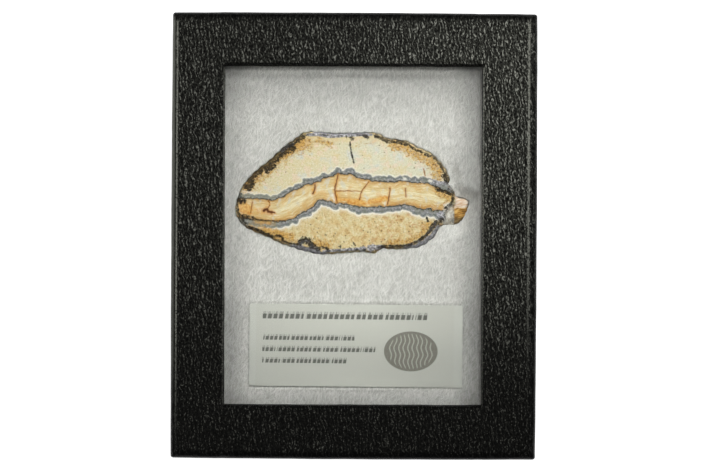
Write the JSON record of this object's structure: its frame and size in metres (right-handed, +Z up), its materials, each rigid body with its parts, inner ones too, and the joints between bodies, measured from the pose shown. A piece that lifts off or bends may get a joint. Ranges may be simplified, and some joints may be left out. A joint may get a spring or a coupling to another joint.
{
  "type": "mammoth molar slice in a display case",
  "caption": "Polished cross slice of mammoth molar on white fibre batting under glass, in a black grained card display case with a printed card.",
  "frame": {"origin": "middle of the case's base, with the case lying on its back", "axes": "+Z up through the glass, +Y along the case's long side towards the slice's upper edge, +X along its short side towards the slice's lower step"},
  "size_m": [0.1142, 0.1396, 0.0191],
  "materials": {
    "leatherette": "black grained paper over board, half gloss",
    "glass": "clear flat glass",
    "fibre": "white polyester fibre batting",
    "card": "smooth grey-green printed card",
    "tooth": "polished cream, tan and blue-grey fossil tooth"
  },
  "bodies": {
    "root": {"lid": "leatherette", "tray": "leatherette", "glass_pane": "glass", "batting": "fibre", "label": "card", "molar_slice": "tooth"}
  },
  "joints": []
}
